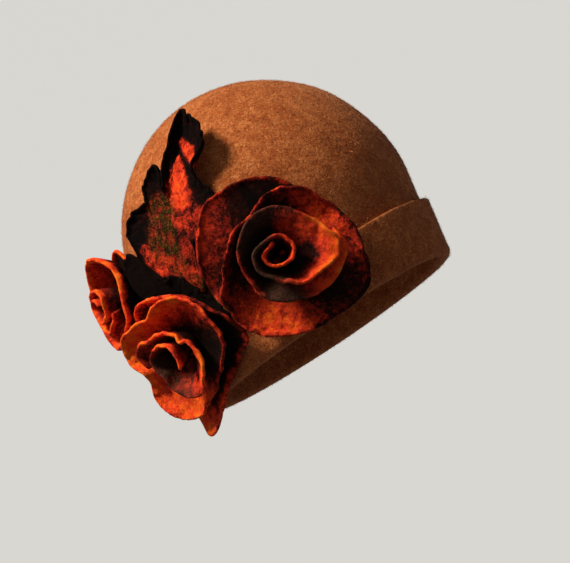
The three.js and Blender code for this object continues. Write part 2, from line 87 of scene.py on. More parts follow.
# Rims of the petals and leaves: angle anticlockwise from the right as seen on the wearer, reach as a share
# of the flower's radius or the leaf's length, rise as a share of its depth or lift
RIM_COLUMNS = ("angle", "reach", "rise")
RIMS = {
    "rose_1_back_petal": [
        (0, 0.79, 0.05), (45, 0.82, 0.05), (86, 0.95, 0.12), (103, 1.09, 0.18), (115, 1.18, 0.22),
        (127, 1.27, 0.25), (139, 1.32, 0.27), (150, 1.37, 0.28), (165, 1.3, 0.28), (180, 1.25, 0.26),
        (195, 1.18, 0.2), (207, 1.12, 0.15), (225, 1.04, 0.1), (250, 0.92, 0.06), (270, 0.84, 0.05),
        (315, 0.79, 0.05),
    ],
    "rose_2_back_petal": [
        (7, 0.99, 0.12), (29, 0.97, 0.34), (48, 0.9, 0.42), (63, 0.88, 0.42), (87, 0.86, 0.42),
        (120, 0.96, 0.4), (135, 1.06, 0.38), (146, 1.08, 0.34), (160, 1, 0.3), (185, 0.92, 0.22),
        (215, 0.9, 0.15), (240, 1.05, 0.12), (250, 1.22, 0.14), (258, 1.36, 0.17), (267, 1.24, 0.17),
        (276, 1.03, 0.14), (289, 0.84, 0.11), (317, 0.7, 0.11), (348, 0.76, 0.08),
    ],
    "rose_3_back_petal": [
        (0, 0.8, 0.1), (40, 0.9, 0.16), (70, 1.05, 0.25), (100, 0.95, 0.25), (140, 0.85, 0.2),
        (180, 0.8, 0.15), (230, 0.85, 0.15), (280, 0.9, 0.15), (325, 0.85, 0.12),
    ],
    "rose_1_outer_petal": [
        (5, 0.94, 0.3), (26, 0.9, 0.32), (44, 0.88, 0.36), (64, 0.86, 0.42), (86, 0.94, 0.5),
        (105, 0.92, 0.55), (132, 0.82, 0.65), (149, 0.83, 0.72), (174, 0.85, 0.75), (186, 0.9, 0.75),
        (201, 0.98, 0.7), (211, 1.06, 0.6), (229, 1.09, 0.45), (247, 1.07, 0.36), (266, 0.99, 0.32),
        (288, 0.94, 0.3), (306, 0.93, 0.28), (326, 0.98, 0.28), (340, 1.03, 0.28), (355, 0.99, 0.28),
    ],
    "rose_2_outer_petal": [
        (6, 0.77, 0.5), (22, 0.85, 0.54), (40, 0.9, 0.57), (66, 0.9, 0.61), (97, 0.85, 0.62),
        (112, 0.81, 0.64), (124, 0.75, 0.65), (149, 0.97, 0.67), (169, 1.18, 0.63), (183, 1.16, 0.59),
        (197, 0.96, 0.54), (207, 1.12, 0.39), (214, 1.24, 0.38), (222, 1.26, 0.37), (236, 1.2, 0.36),
        (254, 1.05, 0.33), (275, 0.79, 0.38), (298, 0.66, 0.42), (325, 0.64, 0.46),
    ],
    "rose_3_outer_petal": [
        (0, 0.75, 0.58), (40, 0.84, 0.48), (70, 1, 0.62), (95, 1.05, 0.8), (135, 0.95, 0.84),
        (180, 0.8, 0.9), (225, 0.8, 0.98), (260, 0.9, 0.95), (290, 0.95, 0.85), (320, 0.85, 0.7),
    ],
    "rose_1_spiral": [
        (106, 0.16, 0.93), (171, 0.18, 0.93), (248, 0.16, 0.93), (303, 0.15, 0.92), (354, 0.18, 0.92),
        (388, 0.23, 0.92), (444, 0.25, 0.93), (486, 0.25, 0.95), (521, 0.28, 0.97), (549, 0.32, 1),
        (602, 0.32, 0.98), (634, 0.35, 0.95), (660, 0.43, 0.9), (682, 0.52, 0.86), (700, 0.6, 0.83),
        (713, 0.71, 0.81), (726, 0.79, 0.8), (737, 0.81, 0.8), (751, 0.72, 0.8), (772, 0.64, 0.8),
        (804, 0.62, 0.82), (839, 0.6, 0.8), (866, 0.54, 0.78), (906, 0.5, 0.75), (932, 0.47, 0.73),
        (952, 0.5, 0.7), (977, 0.57, 0.66), (1015, 0.62, 0.59), (1041, 0.72, 0.52), (1068, 0.83, 0.47),
        (1090, 0.9, 0.45), (1108, 0.82, 0.45),
    ],
    "rose_2_spiral": [
        (-31, 0.3, 0.94), (9, 0.24, 0.93), (43, 0.24, 0.92), (89, 0.19, 0.9), (160, 0.27, 0.89),
        (186, 0.29, 0.88), (238, 0.32, 0.86), (270, 0.5, 0.85), (296, 0.66, 0.83), (307, 0.7, 0.82),
        (323, 0.68, 0.81), (354, 0.6, 0.79), (381, 0.5, 0.76), (404, 0.39, 0.75), (453, 0.36, 0.73),
        (499, 0.44, 0.71), (519, 0.6, 0.69), (538, 0.7, 0.65), (558, 0.62, 0.63),
    ],
    "rose_3_spiral": [
        (20, 0.2, 0.95), (90, 0.24, 0.97), (180, 0.24, 1), (270, 0.28, 0.98), (360, 0.34, 0.85),
        (430, 0.45, 0.85), (500, 0.5, 0.92), (580, 0.5, 0.95), (650, 0.52, 0.88), (700, 0.5, 0.75),
    ],
    # Tall finger drawn full width: its black right margin is partly the leaf's curl, partly painted shade
    "leaf_bright": [
        (3, 0.3, 0.16), (26, 0.33, 0.3), (44, 0.31, 0.48), (56, 0.38, 0.65), (61, 0.5, 0.8),
        (70, 0.62, 0.95), (81, 0.67, 1), (85, 0.68, 1), (88.5, 0.62, 0.93), (91, 0.46, 0.7),
        (95, 0.38, 0.58), (102, 0.17, 0.4), (109, 0.33, 0.6), (121, 0.31, 0.52), (136, 0.29, 0.45),
        (153, 0.21, 0.35), (182, 0.34, 0.45), (198, 0.38, 0.35), (213, 0.38, 0.25), (233, 0.43, 0.14),
        (255, 0.42, 0.08), (275, 0.47, 0.06), (291, 0.56, 0.06), (301, 0.4, 0.06), (312, 0.27, 0.15),
    ],
    "leaf_dark": [
        (12, 0.4, 0.26), (59, 0.26, 0.28), (106, 0.33, 0.28), (122, 0.4, 0.29), (129, 0.64, 0.3),
        (135, 0.89, 0.33), (151, 0.92, 0.36), (159, 0.84, 0.33), (170, 0.62, 0.28), (188, 0.36, 0.25),
        (237, 0.1, 0.21), (310, 0.14, 0.21), (335, 0.42, 0.22), (345, 0.72, 0.23), (357, 0.54, 0.24),
    ],
}

# How bright the dyed wool is, 0 black, then red, 1 orange: at the foot, half way, at the rim, on the lip
GLOW_COLUMNS = ("angle", "foot", "half", "rim", "lip")
GLOWS = {
    "rose_1_back_petal": [
        (0, 0, 0, 0, 0.2), (60, 0, 0, 0.1, 0.32), (90, 0, 0, 0.05, 0.32), (112, 0, 0, 0.1, 0.3),
        (123, 0, 0, 0.15, 0.3), (133, 0, 0.1, 0.4, 0.42), (145, 0.05, 0.25, 0.58, 0.5),
        (160, 0.1, 0.35, 0.6, 0.45),
        (180, 0.1, 0.3, 0.55, 0.4), (195, 0.1, 0.2, 0.3, 0.3), (215, 0.1, 0.2, 0.35, 0.4),
        (250, 0, 0, 0.2, 0.3), (315, 0, 0, 0, 0.3),
    ],
    "rose_1_outer_petal": [
        (0, 0.2, 0.3, 0.4, 0.35), (20, 0.3, 0.45, 0.5, 0.4), (35, 0.55, 0.65, 0.45, 0.4),
        (50, 0.6, 0.7, 0.55, 0.45), (65, 0.5, 0.66, 0.6, 0.5), (85, 0.1, 0.4, 0.52, 0.5),
        (105, 0, 0.1, 0.4, 0.5), (130, 0, 0, 0.25, 0.42), (155, 0, 0, 0.25, 0.42),
        (180, 0.05, 0.1, 0.32, 0.44), (200, 0.1, 0.2, 0.36, 0.46), (218, 0.3, 0.4, 0.42, 0.48),
        (232, 0.6, 0.7, 0.6, 0.55), (250, 0.68, 0.76, 0.72, 0.6), (270, 0.6, 0.74, 0.72, 0.6),
        (290, 0.3, 0.5, 0.6, 0.5), (305, 0.1, 0.2, 0.4, 0.25), (320, 0, 0.1, 0.25, 0.15),
        (340, 0.05, 0.1, 0.22, 0.12), (352, 0.1, 0.2, 0.3, 0.3),
    ],
    "rose_1_spiral": [
        (106, 0, 0.1, 0.3, 0.6), (200, 0, 0.1, 0.4, 0.7), (300, 0, 0.15, 0.5, 0.8), (400, 0, 0.1, 0.45, 0.75),
        (460, 0, 0.05, 0.3, 0.5), (500, 0, 0, 0.1, 0.25), (600, 0, 0, 0.03, 0.15), (640, 0, 0, 0.15, 0.45),
        (670, 0, 0, 0.5, 0.9), (700, 0, 0.05, 0.85, 1), (740, 0, 0.2, 0.95, 1), (765, 0.3, 0.5, 0.75, 0.9),
        (790, 0.4, 0.55, 0.5, 0.5), (806, 0.3, 0.45, 0.35, 0.35), (830, 0, 0.1, 0.1, 0.25),
        (870, 0, 0, 0.05, 0.25), (910, 0, 0, 0.15, 0.4), (950, 0, 0.05, 0.25, 0.5),
        (985, 0, 0.1, 0.12, 0.25), (1015, 0.1, 0.2, 0.15, 0.25), (1040, 0.1, 0.3, 0.6, 0.75),
        (1070, 0.1, 0.3, 0.75, 0.95), (1108, 0.1, 0.3, 0.5, 0.7),
    ],
    "rose_2_back_petal": [
        (0, 0, 0, 0.15, 0.5), (30, 0, 0, 0, 0.3), (60, 0, 0, 0, 0.3), (90, 0, 0.05, 0.15, 0.6),
        (130, 0.1, 0.1, 0.35, 0.7), (160, 0.1, 0.1, 0.35, 0.7), (200, 0.1, 0.1, 0.3, 0.6),
        (235, 0.1, 0.2, 0.7, 0.8), (258, 0.1, 0.5, 0.95, 0.95), (275, 0.1, 0.2, 0.5, 0.75),
        (300, 0, 0.05, 0.2, 0.55), (330, 0, 0, 0.1, 0.45),
    ],
    "rose_2_outer_petal": [
        (6, 0, 0, 0.1, 0.5), (40, 0, 0.3, 0.5, 0.65), (66, 0.1, 0.6, 0.75, 0.85), (97, 0.1, 0.65, 0.95, 1),
        (124, 0.1, 0.75, 1, 1), (149, 0.1, 0.7, 1, 1), (169, 0.2, 0.75, 1, 1), (190, 0.3, 0.7, 0.95, 1),
        (205, 0.3, 0.5, 0.85, 0.9), (222, 0.4, 0.65, 0.8, 0.7), (250, 0.5, 0.8, 0.9, 0.8),
        (275, 0.4, 0.7, 0.85, 0.85), (298, 0.1, 0.2, 0.6, 0.7), (325, 0, 0.05, 0.25, 0.6),
        (350, 0, 0, 0.1, 0.5),
    ],
    "rose_2_spiral": [
        (-31, 0.1, 0.3, 0.4, 0.7), (43, 0.1, 0.2, 0.4, 0.75), (100, 0.1, 0.2, 0.5, 0.85),
        (160, 0, 0.1, 0.3, 0.6), (200, 0, 0.05, 0.15, 0.35), (240, 0, 0.1, 0.2, 0.3),
        (280, 0.2, 0.35, 0.35, 0.5), (310, 0.1, 0.3, 0.6, 0.8), (340, 0, 0.1, 0.8, 1),
        (381, 0, 0.1, 0.75, 1), (420, 0, 0.1, 0.85, 1), (460, 0, 0.25, 0.9, 1), (500, 0, 0.25, 0.6, 0.75),
        (519, 0, 0.3, 0.5, 0.7), (540, 0, 0.3, 0.45, 0.65), (558, 0, 0.3, 0.4, 0.6),
    ],
    "rose_3_back_petal": [
        (0, 0, 0.1, 0.3, 0.7), (90, 0, 0.1, 0.35, 0.8), (180, 0.1, 0.3, 0.6, 0.6), (270, 0.1, 0.3, 0.5, 0.6),
    ],
    "rose_3_outer_petal": [
        (0, 0, 0, 0.15, 0.8), (55, 0, 0.05, 0.3, 0.9), (90, 0, 0.3, 0.6, 0.95), (180, 0.5, 0.65, 0.65, 0.6),
        (270, 0.4, 0.6, 0.65, 0.6), (320, 0, 0.1, 0.25, 0.8),
    ],
    "rose_3_spiral": [
        (20, 0, 0.2, 0.45, 0.8), (360, 0, 0.2, 0.45, 0.8), (600, 0.1, 0.3, 0.5, 0.85),
        (700, 0, 0.2, 0.4, 0.7),
    ],
    # Black wool all over, strokes add colour; on the finger's right margin the black is partly painted shade
    "leaf_bright": [(0, 0, 0, 0, 0), (180, 0, 0, 0, 0)],
    "leaf_dark": [(0, 0, 0, 0, 0), (180, 0, 0, 0, 0)],
}

# Where grey-brown fibres veil the wool: share at the foot, half way and at the rim
VEIL_COLUMNS = ("angle", "foot", "half", "rim")
GREYS = {
    "rose_1_spiral": [
        (440, 0, 0, 0), (480, 0, 0.1, 0.7), (640, 0, 0.1, 0.7), (670, 0, 0, 0), (800, 0, 0, 0.2),
        (830, 0, 0, 0.6), (890, 0, 0, 0.5), (915, 0, 0, 0), (960, 0, 0, 0.2), (985, 0, 0.4, 0.9),
        (1015, 0, 0.3, 0.8), (1040, 0, 0, 0.1),
    ],
    "rose_2_spiral": [
        (160, 0, 0, 0), (190, 0, 0.2, 0.6), (240, 0, 0.3, 0.6), (290, 0, 0.3, 0.5), (310, 0, 0, 0),
    ],
}
NO_VEIL = [(0, 0, 0, 0), (180, 0, 0, 0)]

# Strokes of dyed wool laid on the bright leaf: what they colour, how strongly, and the stroke's path as
# places across and up and a half width, all as shares of the leaf's length
STROKES = {
    "leaf_bright": [
        ("glow", 0.66, [(0.06, 0.1, 0.11), (0.055, 0.18, 0.12), (0.045, 0.27, 0.08), (0.045, 0.37, 0.02)]),
        ("glow", 0.45, [(0.09, -0.03, 0.13), (0.065, 0.14, 0.14)]),
        ("glow", 0.66, [(0.2, 0.3, 0.03), (0.12, 0.41, 0.06), (0.05, 0.49, 0.03)]),
        ("glow", 0.32, [(0.16, -0.02, 0.13), (0.15, -0.2, 0.13), (0.12, -0.38, 0.13)]),
        ("glow", 0.46, [(-0.23, -0.22, 0.06), (-0.16, -0.3, 0.1), (-0.02, -0.34, 0.12), (0.1, -0.4, 0.12)]),
        ("glow", 0.46, [(0.1, -0.4, 0.12), (0.2, -0.45, 0.1)]),
        ("glow", 0.32, [(-0.09, 0.05, 0.14), (-0.07, -0.2, 0.16)]),
        ("moss", 1, [(-0.07, 0.05, 0.13), (-0.07, -0.2, 0.16)]),
        ("moss", 0.9, [(-0.02, -0.22, 0.1), (0.05, -0.34, 0.09)]),
        ("moss", 0.8, [(0.16, -0.44, 0.08), (0.24, -0.48, 0.06)]),
    ],
}

# Seats and sizes of the flowers and leaves
ROSES = {
    "rose_1": dict(
        around=86.5, level=47, radius=53.5, depth=30, coil_across=-10.9, coil_up=1.6, stand=CUFF_STAND
    ),
    "rose_2": dict(around=139, level=37, radius=50, depth=36, coil_across=-3, coil_up=3.5, stand=CUFF_STAND),
    "rose_3": dict(around=166, level=100, radius=34, depth=32, coil_across=-3, coil_up=0, stand=0),
}
SHAPES = {
    "rose_1": dict(
        back=dict(cup=0.1, bend=40, follow=1), outer=dict(cup=0.15, bend=40, follow=0.6),
        coil=dict(cup=0.6, foot_start=4.5, foot_pitch=3.2),
    ),
    "rose_2": dict(
        back=dict(cup=0.35, bend=14, follow=0.6), outer=dict(cup=0.3, bend=14, follow=0.5),
        coil=dict(cup=0.6, foot_start=5, foot_pitch=4),
    ),
    "rose_3": dict(
        back=dict(cup=0.2, bend=14, follow=1), outer=dict(cup=0.15, bend=14, follow=0.5),
        coil=dict(cup=0.6, foot_start=3.5, foot_pitch=4),
    ),
}
LEAVES = {
    "leaf_bright": dict(
        around=119, level=125, length=110, lift=20, base=LEAF_FELT / 2, cup=0.1, bend=40, follow=0.9
    ),
    "leaf_dark": dict(
        around=134, level=70, length=60, lift=20, base=LEAF_FELT / 2 + LAYER, cup=0.2, bend=40, follow=0.5
    ),
}

# Rings of the hat's wall from the top down, round the fold, up the cuff and back up inside
HAT_RINGS = dict(dome=44, free_wall=19, hidden_wall=16, fold=9, cuff=20, lip=7, inner=34)
DOME_END = 0.985

# Unevenness as layers of noise: grain size in millimetres, strength and seed
LIP_NOISE = ((7, 1, 3), (3, 0.6, 4))
RAGGED_NOISE = ((7, 1, 8), (3, 0.7, 9))
CRUMB_NOISE = ((3.1, 1, 1), (5.3, 0.7, 2))
THICKNESS_NOISE = ((5, 0.1, 3),)
DENT_NOISE = ((48, 0.45, 5), (22, 0.3, 6))
CUFF_EDGE_NOISE = ((26, 0.7, 7), (10, 0.45, 8))
NOISE_START = 100

# A fixed scatter of values for the noise
SCATTER_FACTORS = (73856093, 19349663, 83492791)
SCATTER_SEED = 2654435
SCATTER_MIX = 1274126177
SCATTER_MASK = 0x7FFFFFFF
SCATTER_STEPS = 8192

# The bright lip: how far it reaches in from the edge in millimetres, and how its brightness and reach vary
LIP_REACHES = {"rose_1": 3.2, "rose_2": 5, "rose_3": 4.5, "leaf": 3}
LIP_BRIGHTNESS = 0.88
LIP_BRIGHTNESS_SPREAD = 0.35
LIP_REACH_SPREAD = 0.5

# The felt swells towards its edge, and a strip thins out over its first and last rows
EDGE_SWELL = 0.1
EDGE_SWELL_REACH = 4.0
STRIP_END_ROWS = 3
STRIP_END_LEAST = 0.05

# Share of the crimps and crumbs that dark wool keeps, as bright silk crumples more
DARK_CRIMP = 0.4
DARK_CRUMB = 0.3
CRIMP_SEED = 4
RUFFLES = {
    "back_petal": dict(wave=0.8, wave_size=16, crimp=0.3, crimp_size=5, crumb=0.3),
    "outer_petal": dict(wave=2.0, wave_size=13, crimp=0.9, crimp_size=6, crumb=0.6),
    "spiral": dict(wave=2.0, wave_size=10, crimp=1.3, crimp_size=5.5, crumb=0.5),
    "leaf_bright": dict(wave=2.0, wave_size=11, crimp=0.8, crimp_size=6, crumb=1.0),
    "leaf_dark": dict(wave=2.6, wave_size=11, crimp=1.3, crimp_size=6, crumb=1.8),
}
ROSE_RAGGED = 0.5
LEAF_RAGGED = 2.2

# Dents in the blocked crown, stronger over the bare front, and the cuff's wavy edge
DENT_SCALE = 0.9
DENT_DEPTH = 0.2
FRONT_START = 62
FRONT_EASE = 20
FRONT_GAIN = 1.4
CUFF_EDGE_POWER = 4

# Short wool fibres on the hat, in millimetres
FUZZ_PIECES = 2
FUZZ_FIBRES = 40000
FIBRE_RADIUS = 0.09
FIBRE_LENGTHS = (1.2, 4.2)
FIBRE_RISES = (0.05, 0.55)
FIBRE_SIDES = 3

# Seeds of the pieces
FUZZ_SEED = 40
PIECE_SEED_STEP = 100
PETAL_SEED_STEP = 10

# Colours as the screen shows them, at shares from dark to bright
HAT_STOPS = [(0, (122, 52, 20)), (0.5, (171, 88, 39)), (1, (214, 136, 78))]
FUZZ_STOPS = [(0, (124, 58, 26)), (0.5, (181, 102, 52)), (1, (236, 164, 104))]
GLOW_STOPS = [
    (0, (12, 8, 7)), (0.2, (50, 17, 12)), (0.42, (158, 40, 25)),
    (0.68, (238, 68, 34)), (0.88, (252, 94, 28)), (1, (255, 116, 34)),
]
MOSS_STOPS = [(0.3, (17, 14, 6)), (0.54, (46, 40, 12)), (0.8, (112, 98, 32))]
VEIL_COLOUR = (88, 60, 46)

# The dyed felts: how mottled the dye is, how strongly the silk crumples and how much the fuzz shines
DYED_FELTS = {
    "dark_petal_felt": dict(mottle=0.4, silk=0.6, sheen=0.005),
    "red_petal_felt": dict(mottle=0.45, silk=1.0, sheen=0.01),
    "orange_petal_felt": dict(mottle=0.35, silk=0.7, sheen=0.01),
    "bright_leaf_felt": dict(mottle=0.5, silk=1.0, sheen=0.005),
    "dark_leaf_felt": dict(mottle=0.1, silk=1.0, sheen=0.015),
}
SLOTS = {
    "back_petal": "dark_petal_felt", "outer_petal": "red_petal_felt", "spiral": "orange_petal_felt",
    "leaf_bright": "bright_leaf_felt", "leaf_dark": "dark_leaf_felt",
}

# Lights and stage, in degrees, metres and watts
SENSOR_WIDTH = 36
LIGHTS = {
    "key": dict(azimuth=-62, elevation=34, distance=2.2, size=0.55, power=69, colour=(1, 0.95, 0.87)),
    "fill": dict(azimuth=-36, elevation=-32, distance=2.6, size=1.2, power=32, colour=(1, 0.93, 0.87)),
}
ROOM_COLOUR = (1, 0.97, 0.93, 1)
ROOM_STRENGTH = 0.14
STAGE_COLOUR = (100, 99, 97)
STAGE_GLOW_COLOUR = (218, 216, 211)
STAGE_GLOW = 0.94
FLOOR_LEVEL = -0.38
STAGE_RADIUS = 4.6
STAGE_HEIGHT = 4.0
STAGE_CURVE = 1.6


# Small helpers
def mix(a, b, share):
    return a + (b - a) * share


def ease(share):
    share = np.clip(share, 0, 1)
    return share * share * (3 - 2 * share)


def unit(vectors):
    return vectors / np.maximum(np.linalg.norm(vectors, axis=-1, keepdims=True), 1e-12)


def lattice_value(cell, seed):
    """A fixed value from -1 to 1 for each whole-numbered place."""
    mixed = np.bitwise_xor.reduce(cell * np.array(SCATTER_FACTORS), axis=-1) ^ (seed + 1) * SCATTER_SEED
    mixed = (mixed ^ (mixed >> 13)) * SCATTER_MIX & SCATTER_MASK
    return (mixed >> 8) % SCATTER_STEPS / ((SCATTER_STEPS - 1) / 2) - 1


def noise(points, size, seed=0):
    """Smooth noise from -1 to 1 with grains of a size in millimetres."""
    place = points / size + NOISE_START
    cell = np.floor(place).astype(np.int64)
    part = ease(place - cell)
    total = np.zeros(points.shape[:-1])
    for corner in np.ndindex(2, 2, 2):
        weight = np.prod(np.where(corner, part, 1 - part), axis=-1)
        total = total + weight * lattice_value(cell + np.array(corner), seed)
    return total


def layered(points, layers, seed=0):
    """Layers of noise added up."""
    return sum(strength * noise(points, size, seed + own) for size, strength, own in layers)


# The crown's outer face as formulas, in the hat's own upright frame
def crown_section(level):
    share = np.clip((WIDEST_LEVEL - level) / WIDEST_LEVEL, 0, 1) ** TAPER_POWER
    long = mix(CROWN_LENGTH, RIM_LENGTH, share) / 2
    wide = mix(CROWN_WIDTH, RIM_WIDTH, share) / 2
    return long, wide, CROWN_FORWARD * (1 - share)


def crown_point(around, level, out):
    long, wide, middle = crown_section(level)
    rise = max(0.0, level - WIDEST_LEVEL) / (CROWN_HEIGHT - WIDEST_LEVEL + out)
    shrink = max(0.0, 1 - rise ** DOME_POWER) ** (1 / DOME_POWER)
    x = middle + (long + out) * shrink * math.cos(around)
    y = -(wide + out) * shrink * math.sin(around)
    return np.array([x, y, level])


def outside(points, out):
    """Zero on the crown moved out by a distance, more than zero outside it."""
    long, wide, middle = crown_section(points[..., 2])
    rise = np.clip(points[..., 2] - WIDEST_LEVEL, 0, None) / (CROWN_HEIGHT - WIDEST_LEVEL + out)
    across = np.hypot((points[..., 0] - middle) / (long + out), points[..., 1] / (wide + out))
    return across ** DOME_POWER + rise ** DOME_POWER - 1


def crown_normal(point):
    probe = 0.5
    steps = np.eye(3) * probe
    return unit(np.array([outside(point + step, 0) - outside(point - step, 0) for step in steps]))


def seat_stand(level):
    return SEAT_GAP + CUFF_STAND * (1 - ease((level - CUFF_HEIGHT - CUFF_CLEAR) / CUFF_EASE))


def as_worn(points):
    """From the upright hat's millimetres to the tipped hat's metres."""
    turned = np.empty_like(points)
    turned[..., 0] = points[..., 0] * math.cos(WORN_TILT) - points[..., 2] * math.sin(WORN_TILT)
    turned[..., 1] = points[..., 1]
    turned[..., 2] = points[..., 0] * math.sin(WORN_TILT) + points[..., 2] * math.cos(WORN_TILT)
    return turned * MM


class Seat:
    """A flower's own frame on the crown: middle, outward normal, up as worn and across."""

    NEWTON_TURNS = 25
    PROBE = 0.1
    LEAST_SLOPE = 0.001

    def __init__(self, around, level, stand, bend):
        angle = math.radians(around)
        self.bend = bend
        self.middle = crown_point(angle, level, stand + SEAT_GAP)
        self.normal = crown_normal(crown_point(angle, level, 0))
        up = np.array([math.sin(WORN_TILT), 0, math.cos(WORN_TILT)])
        self.up = unit(up - self.normal * (up @ self.normal))
        self.across = np.cross(self.up, self.normal)

    def drop(self, start):
        """How far the crown lies below the seat's plane, held back as stiff felt bends less."""
        depth = np.zeros(start.shape[:-1])
        for _ in range(self.NEWTON_TURNS):
            here = start + depth[..., None] * self.normal
            after = here + self.PROBE * self.normal
            value = outside(here, seat_stand(here[..., 2]))
            gain = outside(after, seat_stand(after[..., 2])) - value
            slope = np.maximum(self.LEAST_SLOPE, gain / self.PROBE)
            depth = np.clip(depth - value / slope, -CROWN_WIDTH / 2, CUFF_STAND)
        return np.where(depth < 0, -self.bend * np.tanh(-depth / self.bend), depth)

    def place(self, across, up, height, follow):
        start = self.middle + across[..., None] * self.across + up[..., None] * self.up
        lift = height + follow * self.drop(start)
        return start + lift[..., None] * self.normal


def read_table(rows, columns, angles, closed):
    """The table's columns after the angle by name, read smoothly and without overshoot at each angle."""
    table = np.array(rows, float)
    if closed:
        turn = np.array([360] + [0] * (table.shape[1] - 1))
        table = np.vstack([table[-2:] - turn, table, table[:3] + turn])
        angles = table[2, 0] + (angles - table[2, 0]) % 360
    knots, values = table[:, 0], table[:, 1:]
    steps = np.diff(values, axis=0) / np.diff(knots)[:, None]
    slopes = np.zeros_like(values)
    same = steps[:-1] * steps[1:] > 0
    total = np.where(same, steps[:-1] + steps[1:], 1)
    slopes[1:-1] = np.where(same, 2 * steps[:-1] * steps[1:] / total, 0)
    at = np.clip(np.searchsorted(knots, angles, side="right") - 1, 0, len(knots) - 2)
    span = (knots[at + 1] - knots[at])[:, None]
    s = np.clip((angles - knots[at])[:, None] / span, 0, 1)
    blend_from = 2 * s ** 3 - 3 * s ** 2 + 1
    blend_leave = (s ** 3 - 2 * s ** 2 + s) * span
    blend_arrive = (s ** 3 - s ** 2) * span
    read = blend_from * values[at] + blend_leave * slopes[at]
    read = read + (1 - blend_from) * values[at + 1] + blend_arrive * slopes[at + 1]
    return dict(zip(columns[1:], read.T))


# Closed felt meshes
def closed_loft(rings):
    """Vertices and faces of a closed body: rings that wrap round, with a fan over each end."""
    count, around = rings.shape[:2]
    vertices = np.vstack([rings.reshape(-1, 3), rings[0].mean(0), rings[-1].mean(0)])
    ring, slot = np.meshgrid(np.arange(count - 1), np.arange(around), indexing="ij")
    after = (slot + 1) % around
    low, high = ring * around, (ring + 1) * around
    corners = [low + slot, low + after, high + after, high + slot]
    quads = np.stack(corners, -1).reshape(-1, 4)
    here = np.arange(around)
    nearest = (here + 1) % around
    last = (count - 1) * around
    first_fan = np.stack([nearest, here, np.full(around, count * around)], -1)
    last_fan = np.stack([last + here, last + nearest, np.full(around, count * around + 1)], -1)
    fans = np.vstack([first_fan, last_fan])
    halves = np.vstack([quads[:, [0, 1, 2]], quads[:, [0, 2, 3]], fans])
    a, b, c = (vertices[halves[:, k]] for k in range(3))
    if np.einsum("ij,ij->", a, np.cross(b, c)) < 0:
        quads = quads[:, ::-1]
        fans = fans[:, ::-1]
    return vertices, quads.tolist() + fans.tolist()


def end_mean(values):
    """A value for each vertex of a closed loft, with the two end vertices added."""
    return np.concatenate([values.reshape(-1), [values[0].mean(), values[-1].mean()]])


def add_mesh(name, vertices, faces, values, material):
    """A smooth mesh object with named values on its vertices, riding on the hat."""
    mesh = bpy.data.meshes.new(name)
    mesh.from_pydata(vertices.tolist(), [], faces)
    mesh.polygons.foreach_set("use_smooth", np.ones(len(mesh.polygons), bool))
    for key, value in values.items():
        mesh.attributes.new(key, "FLOAT", "POINT").data.foreach_set("value", value.astype(np.float32))
    mesh.materials.append(material)
    piece = bpy.data.objects.new(name, mesh)
    bpy.context.scene.collection.objects.link(piece)
    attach(piece, BODY)
    return piece


def grid_normals(grid, closed):
    """Unit normals of a grid of middle points, rows along the rim and columns from foot to rim."""
    if closed:
        along = np.roll(grid, -1, 0) - np.roll(grid, 1, 0)
    else:
        along = np.gradient(grid, axis=0)
    outward = np.gradient(grid, axis=1)
    return unit(np.cross(outward, along))


def felt_section(grid, normals, half):
    """Front face, rounded lip and back face of a sheet: one more column list for each row."""
    front = grid + normals * half[..., None]
    back = grid - normals * half[..., None]
    edge = grid[:, -1]
    outward = unit(edge - grid[:, -2])
    lip = []
    for step in range(1, LIP_STEPS):
        turn = math.pi * step / LIP_STEPS
        lean = normals[:, -1] * math.cos(turn) + outward * math.sin(turn)
        lip.append(edge + lean * half[:, -1:])
    return front, np.stack(lip, 1), back


def read_shares(columns, shares):
    """A value that runs from the foot over the half way mark to the rim."""
    low, half, high = (columns[key][:, None] for key in ("foot", "half", "rim"))
    return low + (half - low) * np.clip(shares * 2, 0, 1) + (high - half) * np.clip(shares * 2 - 1, 0, 1)


def stroke_share(plane, path):
    """1 in the middle of a stroke and 0 outside it."""
    share = np.zeros(plane.shape[:-1])
    for start, end in zip(path[:-1], path[1:]):
        start, end = np.array(start), np.array(end)
        way = end[:2] - start[:2]
        along = np.clip((plane - start[:2]) @ way / (way @ way), 0, 1)
        gap = np.linalg.norm(plane - start[:2] - along[..., None] * way, axis=-1)
        share = np.maximum(share, ease((1 - gap / mix(start[2], end[2], along)) * 2))
    return share


def sheet_values(name, angles, shares, grid, plane, closed):
    """How bright, grey and mossy the wool is, and how far from the rim, for each middle point."""
    glow = read_table(GLOWS[name], GLOW_COLUMNS, angles, closed)
    values = {"glow": read_shares(glow, shares), "moss": np.zeros(grid.shape[:-1])}
    for key, strength, path in STROKES.get(name, ()):
        values[key] = np.maximum(values[key], strength * stroke_share(plane, path))
    steps = np.linalg.norm(np.diff(grid, axis=1), axis=-1)
    to_edge = np.concatenate([np.cumsum(steps[:, ::-1], 1)[:, ::-1], np.zeros((len(grid), 1))], 1)
    uneven = layered(grid, LIP_NOISE)
    lip = glow["lip"][:, None] * (LIP_BRIGHTNESS + LIP_BRIGHTNESS_SPREAD * uneven)
    reach = next(reach for piece, reach in LIP_REACHES.items() if name.startswith(piece))
    lip_reach = reach * (1 + LIP_REACH_SPREAD * uneven)
    values["glow"] = mix(values["glow"], lip, ease(1 - to_edge / lip_reach))
    grey = read_table(GREYS.get(name, NO_VEIL), VEIL_COLUMNS, angles, closed)
    values["grey"] = read_shares(grey, shares)
    return values, to_edge


def join_faces(front, lip_value, back):
    return np.concatenate([front, lip_value, back[:, ::-1]], 1)


